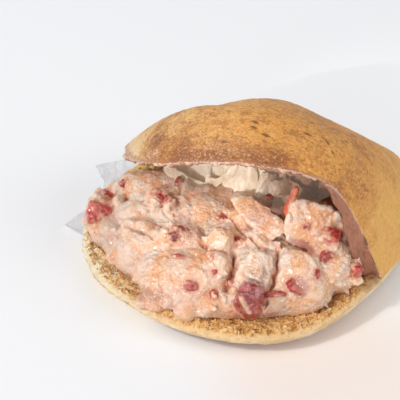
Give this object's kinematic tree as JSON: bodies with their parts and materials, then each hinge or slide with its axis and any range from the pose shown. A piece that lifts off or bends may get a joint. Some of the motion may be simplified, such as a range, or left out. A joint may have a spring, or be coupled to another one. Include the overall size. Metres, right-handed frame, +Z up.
{
  "type": "filled pocket bread sandwich",
  "caption": "Round pocket bread slit along its front and held open like a hood over a heap of soft creamy cheese with diced tomato and a crumpled paper lining.",
  "frame": {"origin": "middle of the loaf's flat underside", "axes": "+Z up, the mouth faces -Y, +X towards the right end of the mouth"},
  "size_m": [0.1546, 0.139, 0.076],
  "materials": {
    "bread_crust": "dry baked crust, browner near the lip, pale crumb inside",
    "soft_cheese": "soft wet cheese, peach to pinkish white",
    "thin_paper": "thin crumpled white paper",
    "tomato": "wet red tomato flesh"
  },
  "bodies": {
    "root": {"bread": "bread_crust", "cheese_filling": "soft_cheese", "paper_corners": "thin_paper", "paper_lining": "thin_paper", "tomato_front_large": "tomato", "tomato_hollow": "tomato", "tomato_right": "tomato", "tomato_right_small": "tomato", "tomato_rim_cube": "tomato", "tomato_spike": "tomato", "tomato_strip_left": "tomato", "tomato_wedge_left": "tomato"}
  },
  "joints": []
}
